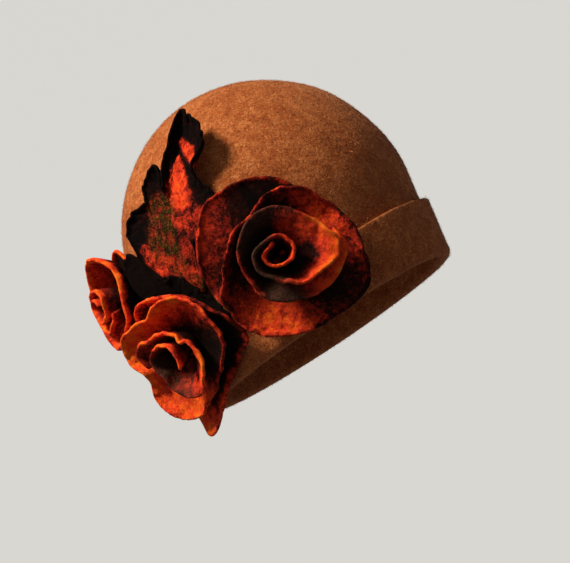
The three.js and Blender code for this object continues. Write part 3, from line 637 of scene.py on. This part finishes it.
def ruffled(grid, shares, closed, look, glow, seed):
    """Waves that grow towards the rim, and a crumbled surface where bright silk lies on the wool."""
    normals = grid_normals(grid, closed)
    waves = noise(grid, look["wave_size"], seed) * look["wave"] * shares ** 2
    # Crimps start two thirds of the way out, crumbs near the foot
    crimps = noise(grid, look["crimp_size"], seed + CRIMP_SEED) * look["crimp"]
    crimps = crimps * ease(shares * 3 - 2) * (DARK_CRIMP + glow)
    crumbs = layered(grid, CRUMB_NOISE, seed) * look["crumb"] * ease(shares * 2.5) * (DARK_CRUMB + glow)
    return grid + normals * (waves + crimps + crumbs)[..., None]


def of_kind(table, name):
    """The table's entry for the kind of piece that a name ends with."""
    return next(entry for kind, entry in table.items() if name.endswith(kind))


def dish(seat, foot, lip, form, shares):
    """A felt face from a foot to a lip; cup 0 spreads first and rises late, cup 1 rises first."""
    cup = form["cup"]
    knee = (mix(lip[0], foot[0], cup), mix(lip[1], foot[1], cup), mix(foot[2], lip[2], cup))
    here = [
        mix(mix(start[:, None], turn[:, None], shares), mix(turn[:, None], end[:, None], shares), shares)
        for start, turn, end in zip(foot, knee, lip)
    ]
    follow = mix(form["follow"], form.get("lip_follow", form["follow"]), shares)
    return seat.place(*here, follow), np.stack(here[:2], -1) / form["size"]


def disc_grid(name, seat, form, angles):
    rim = read_table(RIMS[name], RIM_COLUMNS, angles, True)
    reach = rim["reach"]
    turn = np.radians(angles)
    rim_place = np.stack([np.cos(turn), np.sin(turn), 0 * turn], -1) * (reach * form["size"])[:, None]
    reach = reach + form["ragged"] / form["size"] * layered(rim_place, RAGGED_NOISE)
    lip_across = reach * form["size"] * np.cos(turn)
    lip_up = reach * form["size"] * np.sin(turn)
    towards = np.arctan2(lip_up - form["middle"][1], lip_across - form["middle"][0])
    flat = np.full(len(angles), float(form["base"]))

    def level(radius):
        across = form["middle"][0] + radius * np.cos(towards)
        return across, form["middle"][1] + radius * np.sin(towards), flat

    lip = (lip_across, lip_up, rim["rise"] * form["lift"])
    floor = form["floor"]
    start = 1 / (DISH_RINGS + 1)
    outer_shares = np.linspace(0 if floor else start, 1, DISH_RINGS)
    grid, plane = dish(seat, level(floor), lip, form, outer_shares)
    shares = outer_shares
    if floor:
        inner_shares = np.arange(1, FLOOR_RINGS) / FLOOR_RINGS
        inner, inner_plane = dish(seat, level(0.0), level(floor), form, inner_shares)
        grid = np.concatenate([inner, grid], 1)
        plane = np.concatenate([inner_plane, plane], 1)
        shares = np.concatenate([np.zeros(FLOOR_RINGS - 1), outer_shares])
    return grid, plane, shares


def felt_piece(name, grid, plane, shares, angles, felt, closed, seed):
    """A closed felt mesh round a grid of middle points."""
    values, to_edge = sheet_values(name, angles, shares, grid, plane, closed)
    grid = ruffled(grid, shares, closed, of_kind(RUFFLES, name), values["glow"], seed)
    normals = grid_normals(grid, closed)
    swell = EDGE_SWELL * ease(1 - to_edge / EDGE_SWELL_REACH)
    half = felt / 2 * (1 + swell + layered(grid, THICKNESS_NOISE, seed))
    if not closed:
        ends = np.minimum(np.arange(len(grid)), np.arange(len(grid))[::-1])
        half = half * np.sqrt(np.clip(ends / STRIP_END_ROWS, STRIP_END_LEAST, 1))[:, None]
    front, lip, back = felt_section(grid, normals, half)
    section = join_faces(front, lip, back)
    on_lip = np.ones((len(grid), LIP_STEPS - 1))
    spread = {key: join_faces(value, on_lip * value[:, -1:], value) for key, value in values.items()}
    if closed:
        section = section.transpose(1, 0, 2)
        spread = {key: value.T for key, value in spread.items()}
    vertices, faces = closed_loft(as_worn(section))
    spread = {key: end_mean(value) for key, value in spread.items()}
    slot_name = of_kind(SLOTS, name)
    piece = add_mesh(f"{name}_wool", vertices, faces, spread, MATERIALS[slot_name])
    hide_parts(name)


def add_disc(name, seat, form, felt, seed):
    angles = np.arange(DISC_SLICES) * 360 / DISC_SLICES
    grid, plane, shares = disc_grid(name, seat, form, angles)
    felt_piece(name, grid, plane, shares, angles, felt, True, seed)


def foot_lean(foot, lip, cup):
    """How far a petal leans out where it starts: 0 straight up, 1 level."""
    out = (1 - cup) * np.hypot(lip[0] - foot[0], lip[1] - foot[1])
    return out / np.hypot(out, cup * (lip[2] - foot[2]))


def add_spiral(name, seat, form, seed):
    first, last = RIMS[name][0][0], RIMS[name][-1][0]
    angles = np.linspace(first, last, int((last - first) / STRIP_STEP))
    rim = read_table(RIMS[name], RIM_COLUMNS, angles, False)
    turn = np.radians(angles)
    radius = form["foot_start"] + form["foot_pitch"] * (angles - first) / 360

    def polar(distance, height):
        across = form["middle"][0] + distance * np.cos(turn)
        return across, form["middle"][1] + distance * np.sin(turn), height

    lip = polar(rim["reach"] * form["size"], rim["rise"] * form["lift"])
    foot = polar(radius, np.full(len(angles), float(form["base"])))
    raised = foot[2] + PETAL_FELT / 2 * foot_lean(foot, lip, form["cup"])
    shares = np.linspace(0, 1, STRIP_RINGS)
    grid, plane = dish(seat, (foot[0], foot[1], raised), lip, form, shares)
    felt_piece(name, grid, plane, shares, angles, PETAL_FELT, False, seed)


# Materials
def linear(red, green, blue):
    """A colour given as the screen shows it, from 0 to 255, as light."""
    shown = [part / 255 for part in (red, green, blue)]
    return (*[((part + 0.055) / 1.055) ** 2.4 if part > 10 / 255 else part / 12.92 for part in shown], 1)


class Nodes:
    """A material's node tree with short calls to add and join nodes."""

    def __init__(self, name):
        self.material = bpy.data.materials.new(name)
        self.material.use_nodes = True
        self.tree = self.material.node_tree
        self.shader = self.tree.nodes["Principled BSDF"]
        self.place = self.add("ShaderNodeTexCoord").outputs["Object"]

    def add(self, kind, **settings):
        node = self.tree.nodes.new(kind)
        for key, value in settings.items():
            setattr(node, key, value)
        return node

    def join(self, source, target):
        self.tree.links.new(source, target)

    def attribute(self, name):
        return self.add("ShaderNodeAttribute", attribute_name=name).outputs["Fac"]

    def grain(self, size, detail=3.0, distortion=0.0):
        """Noise with grains of a size in millimetres."""
        node = self.add("ShaderNodeTexNoise")
        node.inputs["Scale"].default_value = 1 / (size * MM)
        node.inputs["Detail"].default_value = detail
        node.inputs["Distortion"].default_value = distortion
        self.join(self.place, node.inputs["Vector"])
        return node.outputs["Fac"]

    def range(self, source, low, high, to_low, to_high):
        node = self.add("ShaderNodeMapRange")
        for key, value in (("From Min", low), ("From Max", high), ("To Min", to_low), ("To Max", to_high)):
            node.inputs[key].default_value = value
        self.join(source, node.inputs["Value"])
        return node.outputs["Result"]

    def math(self, operation, first, second):
        node = self.add("ShaderNodeMath", operation=operation)
        for socket, value in zip(node.inputs, (first, second)):
            if isinstance(value, (int, float)):
                socket.default_value = value
            else:
                self.join(value, socket)
        return node.outputs[0]

    def ramp(self, source, stops):
        """Colours as the screen shows them, at shares from dark to bright."""
        node = self.add("ShaderNodeValToRGB")
        points = node.color_ramp.elements
        for point, (position, colour) in zip(points, (stops[0], stops[-1])):
            point.position = position
            point.color = linear(*colour)
        for position, colour in stops[1:-1]:
            points.new(position).color = linear(*colour)
        self.join(source, node.inputs["Fac"])
        return node.outputs["Color"]

    def blend(self, share, first, second):
        node = self.add("ShaderNodeMix", data_type="RGBA")
        self.join(share, node.inputs[0])
        for socket, value in ((node.inputs[6], first), (node.inputs[7], second)):
            if isinstance(value, tuple):
                socket.default_value = value
            else:
                self.join(value, socket)
        return node.outputs[2]

    def bump(self, layers):
        """Bump layers as height, depth in millimetres and strength, each over the one before."""
        normal = None
        for height, depth, strength in layers:
            node = self.add("ShaderNodeBump")
            node.inputs["Distance"].default_value = depth * MM
            node.inputs["Strength"].default_value = strength
            self.join(height, node.inputs["Height"])
            if normal is not None:
                self.join(normal, node.inputs["Normal"])
            normal = node.outputs["Normal"]
        self.join(normal, self.shader.inputs["Normal"])

    def finish(self, colour, roughness, sheen, sheen_tint, specular):
        self.join(colour, self.shader.inputs["Base Color"])
        self.shader.inputs["Roughness"].default_value = roughness
        self.shader.inputs["Sheen Weight"].default_value = sheen
        self.shader.inputs["Sheen Roughness"].default_value = 0.5
        self.shader.inputs["Sheen Tint"].default_value = sheen_tint
        self.shader.inputs["Specular IOR Level"].default_value = specular
        return self.material


def hat_felt():
    nodes = Nodes("hat_wool")
    fibres = nodes.range(nodes.grain(1.7, 3, 1.4), 0.36, 0.64, 0, 0.6)
    patches = nodes.range(nodes.grain(8, 2), 0.35, 0.65, 0, 0.25)
    clouds = nodes.range(nodes.grain(26, 2), 0.35, 0.65, 0, 0.15)
    colour = nodes.ramp(nodes.math("ADD", fibres, nodes.math("ADD", patches, clouds)), HAT_STOPS)
    nodes.bump([(nodes.grain(2.4, 4, 1.2), 0.8, 0.8), (nodes.grain(0.8, 3), 0.3, 0.6)])
    return nodes.finish(colour, 0.95, 0.25, linear(225, 160, 110), 0.1)


def hat_fuzz():
    nodes = Nodes("hat_fibres")
    return nodes.finish(nodes.ramp(nodes.attribute("tone"), FUZZ_STOPS), 0.9, 0.2, linear(235, 180, 130), 0.1)


def dyed_felt(name, mottle, silk, sheen):
    nodes = Nodes(name)
    fibres = nodes.grain(1.5, 4, 1.0)
    patches = nodes.grain(6, 3, 0.6)
    fine = nodes.range(fibres, 0.3, 0.7, -0.4, 0.4)
    coarse = nodes.range(patches, 0.3, 0.7, -0.5, 0.4)
    spread = nodes.math("ADD", fine, coarse)
    strength = nodes.range(nodes.attribute("glow"), 0, 0.4, mottle * 0.4, mottle)
    glow = nodes.math("ADD", nodes.attribute("glow"), nodes.math("MULTIPLY", spread, strength))
    colour = nodes.ramp(glow, GLOW_STOPS)
    grey = nodes.math("MULTIPLY", nodes.attribute("grey"), nodes.range(fibres, 0.35, 0.6, 0.3, 1))
    colour = nodes.blend(grey, colour, linear(*VEIL_COLOUR))
    tufts = nodes.range(nodes.grain(9, 4, 1.2), 0.36, 0.62, 0.1, 1)
    moss = nodes.math("MULTIPLY", nodes.attribute("moss"), tufts)
    colour = nodes.blend(moss, colour, nodes.ramp(fibres, MOSS_STOPS))
    nodes.bump([(nodes.grain(2.2, 4, 1.6), 1.3, silk), (nodes.grain(0.8, 3), 0.35, 0.6)])
    return nodes.finish(colour, 0.85, sheen, linear(235, 150, 110), 0.02)


def stage_paint():
    nodes = Nodes("stage_paint")
    nodes.shader.inputs["Base Color"].default_value = linear(*STAGE_COLOUR)
    nodes.shader.inputs["Roughness"].default_value = 1
    nodes.shader.inputs["Specular IOR Level"].default_value = 0
    nodes.shader.inputs["Emission Color"].default_value = linear(*STAGE_GLOW_COLOUR)
    nodes.shader.inputs["Emission Strength"].default_value = STAGE_GLOW
    return nodes.material


HAT_FUZZ = hat_fuzz()
MATERIALS = {slot: dyed_felt(slot.replace("felt", "wool"), **look) for slot, look in DYED_FELTS.items()}
MATERIALS["hat_felt"] = hat_felt()


# The hat body
def hat_stations():
    """Rings of the felt wall from the outer top, down, round the fold, up the cuff and back inside."""
    fold_radius = CUFF_GAP / 2
    fold_outer = fold_radius + CROWN_FELT
    long, wide, middle = crown_section(WIDEST_LEVEL)

    def dome(out, share):
        angle = share * math.pi / 2
        level = WIDEST_LEVEL + (CROWN_HEIGHT - WIDEST_LEVEL + out) * math.sin(angle) ** (2 / DOME_POWER)
        shrink = math.cos(angle) ** (2 / DOME_POWER)
        return (long + out) * shrink, (wide + out) * shrink, middle, level

    def wall(out, level):
        half_long, half_wide, forward = crown_section(level)
        return half_long + out, half_wide + out, forward, level

    def fold(radius, share):
        angle = math.pi * (1 + share)
        half_long, half_wide, forward, level = wall(fold_radius + radius * math.cos(angle), fold_outer)
        return half_long, half_wide, forward, level + radius * math.sin(angle)

    def lip(share):
        angle = math.pi * share
        radius = CROWN_FELT / 2
        out = CUFF_GAP + radius - radius * math.cos(angle)
        return wall(out, CUFF_HEIGHT - radius + radius * math.sin(angle))

    dome_shares = np.linspace(DOME_END, 0, HAT_RINGS["dome"])
    free_wall = np.linspace(WIDEST_LEVEL, CUFF_HEIGHT - CROWN_FELT, HAT_RINGS["free_wall"])[1:]
    hidden_wall = np.linspace(CUFF_HEIGHT - CROWN_FELT, fold_outer, HAT_RINGS["hidden_wall"])[1:]
    fold_shares = np.linspace(0, 1, HAT_RINGS["fold"])[1:]
    cuff_shares = np.linspace(0, 1, HAT_RINGS["cuff"])[1:]
    lip_shares = np.linspace(0, 1, HAT_RINGS["lip"])[1:]
    cuff_top = CUFF_HEIGHT - CROWN_FELT / 2
    cuff_levels = mix(fold_outer, cuff_top, cuff_shares)
    inner_levels = np.linspace(fold_outer, WIDEST_LEVEL, HAT_RINGS["inner"])[1:]
    # Whether fibres grow there, whether it is the cuff's upright part, and the rings
    groups = [
        (1, 0, [dome(0, share) for share in dome_shares]),
        (1, 0, [wall(0, level) for level in free_wall]),
        (0, 0, [wall(0, level) for level in hidden_wall]),
        (0, 0, [fold(fold_radius, share) for share in fold_shares]),
        (0, 1, [wall(CUFF_GAP, level) for level in cuff_levels]),
        (1, 1, [lip(share) for share in lip_shares]),
        (1, 1, [wall(CUFF_STAND, mix(cuff_top, fold_outer, share)) for share in cuff_shares]),
        (1, 0, [fold(fold_outer, share) for share in fold_shares[::-1] - fold_shares[0]]),
        (0, 0, [wall(-CROWN_FELT, level) for level in inner_levels]),
        (0, 0, [dome(-CROWN_FELT, share) for share in dome_shares[::-1][1:]]),
    ]
    shown = np.concatenate([np.full(len(rows), furry) for furry, _, rows in groups])
    on_cuff = np.concatenate([np.full(len(rows), upright) for _, upright, rows in groups])
    return np.array([row for *_, rows in groups for row in rows]), shown, on_cuff


def add_fuzz(name, rings, shown, seed):
    """Short wool fibres that lie on the felt and stand a little off it, each a thin closed spike."""
    rng = np.random.default_rng(seed)
    after = np.roll(rings, -1, 1)
    along = (after - rings)[:-1]
    down = np.diff(rings, axis=0)
    facing = np.cross(down, along)
    area = np.linalg.norm(facing, axis=-1) * shown[:-1, None]
    cell = rng.choice(area.size, FUZZ_FIBRES, p=area.ravel() / area.sum())
    row, slot = np.unravel_index(cell, area.shape)
    part_along, part_down, turn, rise, length = rng.random((5, FUZZ_FIBRES, 1))
    normal = unit(facing[row, slot])
    root = rings[row, slot] + part_along * along[row, slot] + part_down * down[row, slot]
    root = root - FIBRE_RADIUS * normal
    turn = turn * 2 * math.pi
    lean = unit(along[row, slot]) * np.cos(turn) + unit(down[row, slot]) * np.sin(turn)
    heading = unit(lean + normal * mix(*FIBRE_RISES, rise))
    first = unit(np.cross(heading, normal)) * FIBRE_RADIUS
    second = np.cross(heading, first)
    angles = [k * math.tau / FIBRE_SIDES for k in range(FIBRE_SIDES)]
    corners = [root + first * math.cos(angle) + second * math.sin(angle) for angle in angles]
    tip = root + heading * mix(*FIBRE_LENGTHS, length)
    vertices = np.stack([*corners, tip], 1).reshape(-1, 3)
    spike = np.array([(0, 2, 1), (0, 1, 3), (1, 2, 3), (2, 0, 3)])
    points = FIBRE_SIDES + 1
    faces = (spike + points * np.arange(FUZZ_FIBRES)[:, None, None]).reshape(-1, 3)
    tone = np.repeat(rng.random(FUZZ_FIBRES), points)
    fuzz = add_mesh(name, as_worn(vertices), faces.tolist(), {"tone": tone}, HAT_FUZZ)
    add_fibre_map(fuzz)


def add_fibre_map(fuzz):
    """A flat map with a square for each fibre, whose faces share one triangle, as it has one colour."""
    squares = math.ceil(math.sqrt(FUZZ_FIBRES))
    down, along = np.divmod(np.arange(FUZZ_FIBRES), squares)
    corner = np.stack([along, down], -1)[:, None, None]
    triangle = np.array([(0.1, 0.1), (0.9, 0.1), (0.1, 0.9)])
    places = np.broadcast_to((corner + triangle) / squares, (FUZZ_FIBRES, FIBRE_SIDES + 1, *triangle.shape))
    fuzz.data.uv_layers.new(name="OFBake").data.foreach_set("uv", places.ravel())


def add_hat():
    stations, shown, on_cuff = hat_stations()
    turn = np.arange(HAT_SLICES) * 2 * math.pi / HAT_SLICES
    long, wide, middle, level = (stations[:, k, None] for k in range(4))
    rings = np.stack([middle + long * np.cos(turn), wide * np.sin(turn), level + 0 * turn], -1)
    core = np.zeros_like(rings)
    core[..., 0] = crown_section(level)[2]
    core[..., 2] = np.minimum(level, WIDEST_LEVEL)
    outward = unit(rings - core)
    bare = 1 + FRONT_GAIN * ease((rings[..., 0] - FRONT_START) / FRONT_EASE)
    dents = layered(rings * DENT_SCALE, DENT_NOISE) * bare - DENT_DEPTH
    edge = on_cuff[:, None] * np.clip(level / CUFF_HEIGHT, 0, 1) ** CUFF_EDGE_POWER
    rim_line = rings * (1, 1, 0)
    rings = rings + outward * dents[..., None]
    rings[..., 2] += edge * layered(rim_line, CUFF_EDGE_NOISE)
    vertices, faces = closed_loft(as_worn(rings))
    piece = add_mesh("hat_body_wool", vertices, faces, {}, MATERIALS["hat_felt"])
    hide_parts("hat_body")
    for number in range(FUZZ_PIECES):
        add_fuzz(f"hat_fuzz_{number + 1}", rings, shown, FUZZ_SEED + number)


# The flowers and leaves
def add_rose(name, seed):
    rose = ROSES[name]
    shape = SHAPES[name]
    coil = shape["coil"]
    spiral_rows = RIMS[f"{name}_spiral"]
    turns = (spiral_rows[-1][0] - spiral_rows[0][0]) / 360
    floor = coil["foot_start"] + coil["foot_pitch"] * turns + PETAL_FELT
    back_base = PETAL_FELT / 2
    outer_base = back_base + LAYER
    spiral_base = outer_base + PETAL_FELT / 2 + LAYER_GAP
    middle = (rose["coil_across"], rose["coil_up"])
    shared = dict(size=rose["radius"], lift=rose["depth"], ragged=ROSE_RAGGED, middle=middle)
    seat = Seat(rose["around"], rose["level"], rose["stand"], shape["back"]["bend"])
    back = dict(shared, **shape["back"], base=back_base, floor=floor + PETAL_FELT)
    outer = dict(shared, **shape["outer"], base=outer_base, floor=floor)
    wound = dict(shared, **{**shape["outer"], **coil}, base=spiral_base, lip_follow=0)
    add_disc(f"{name}_back_petal", seat, back, PETAL_FELT, seed)
    add_disc(f"{name}_outer_petal", seat, outer, PETAL_FELT, seed + PETAL_SEED_STEP)
    add_spiral(f"{name}_spiral", seat, wound, seed + 2 * PETAL_SEED_STEP)


def add_leaf(name, seed):
    leaf = LEAVES[name]
    seat = Seat(leaf["around"], leaf["level"], 0, leaf["bend"])
    form = dict(leaf, size=leaf["length"], middle=(0, 0), floor=0, ragged=LEAF_RAGGED)
    add_disc(name, seat, form, LEAF_FELT, seed)


# Camera, light and stage
def look_back(azimuth, elevation):
    """The direction from the object to a camera or light."""
    flat = math.cos(elevation)
    return Vector((math.sin(azimuth) * flat, -math.cos(azimuth) * flat, math.sin(elevation)))


def add_camera():
    sideways = Vector((math.cos(CAMERA_AZIMUTH), math.sin(CAMERA_AZIMUTH), 0))
    towards = look_back(CAMERA_AZIMUTH, CAMERA_ELEVATION)
    upward = towards.cross(sideways)
    shift_right = (PHOTO_WIDTH / 2 - ORIGIN_PX[0]) * MM_PER_PX
    shift_up = (ORIGIN_PX[1] - PHOTO_HEIGHT / 2) * MM_PER_PX
    target = (sideways * shift_right + upward * shift_up) * MM
    data = bpy.data.cameras.new("camera")
    data.sensor_width = SENSOR_WIDTH
    data.lens = data.sensor_width * CAMERA_DISTANCE / (PHOTO_WIDTH * MM_PER_PX)
    camera = bpy.data.objects.new("camera", data)
    camera.location = target + towards * CAMERA_DISTANCE * MM
    camera.rotation_mode = "QUATERNION"
    camera.rotation_quaternion = (-towards).to_track_quat("-Z", "Y")
    bpy.context.scene.collection.objects.link(camera)
    bpy.context.scene.camera = camera
    return target


def add_light(name, target, azimuth, elevation, distance, size, power, colour):
    data = bpy.data.lights.new(name, "AREA")
    data.shape = "DISK"
    data.size = size
    data.energy = power
    data.color = colour
    light = bpy.data.objects.new(name, data)
    towards = look_back(math.radians(azimuth), math.radians(elevation))
    light.location = target + towards * distance
    light.rotation_mode = "QUATERNION"
    light.rotation_quaternion = (-towards).to_track_quat("-Z", "Y")
    bpy.context.scene.collection.objects.link(light)


def add_stage():
    """A round pale floor that curves up into a wall, seen from inside."""
    slices = 96
    steps = 16
    floor_shares = (0.02, 0.2, 0.4, 0.6)
    profile = [(STAGE_RADIUS * share, 0) for share in floor_shares]
    for step in range(steps + 1):
        turn = step / steps * math.pi / 2
        radius = STAGE_RADIUS - STAGE_CURVE + STAGE_CURVE * math.sin(turn)
        profile.append((radius, STAGE_CURVE - STAGE_CURVE * math.cos(turn)))
    profile.append((STAGE_RADIUS, STAGE_HEIGHT))
    turn = np.arange(slices) * 2 * math.pi / slices
    rings = [
        np.stack([radius * np.cos(turn), radius * np.sin(turn), FLOOR_LEVEL + rise + 0 * turn], -1)
        for radius, rise in profile
    ]
    vertices = np.vstack([*rings, [[0, 0, FLOOR_LEVEL]]])
    faces = [(slices * len(rings), k, (k + 1) % slices) for k in range(slices)]
    for ring in range(len(rings) - 1):
        for k in range(slices):
            after = (k + 1) % slices
            low, high = ring * slices, (ring + 1) * slices
            faces.append((low + after, low + k, high + k, high + after))
    mesh = bpy.data.meshes.new("stage")
    mesh.from_pydata(vertices.tolist(), [], faces)
    mesh.polygons.foreach_set("use_smooth", np.ones(len(mesh.polygons), bool))
    mesh.materials.append(stage_paint())
    stage = bpy.data.objects.new("stage", mesh)
    bpy.context.scene.collection.objects.link(stage)
    stage.visible_diffuse = False


def add_world():
    world = bpy.data.worlds.new("soft_room")
    world.use_nodes = True
    background = world.node_tree.nodes["Background"]
    background.inputs["Color"].default_value = ROOM_COLOUR
    background.inputs["Strength"].default_value = ROOM_STRENGTH
    bpy.context.scene.world = world
    bpy.context.scene.view_settings.view_transform = "Standard"


target = add_camera()
add_world()
add_stage()
for light_name, light in LIGHTS.items():
    add_light(light_name, target, **light)

add_hat()
for number, rose_name in enumerate(ROSES, 1):
    add_rose(rose_name, PIECE_SEED_STEP * number)
for number, leaf_name in enumerate(LEAVES, 5):
    add_leaf(leaf_name, PIECE_SEED_STEP * number)
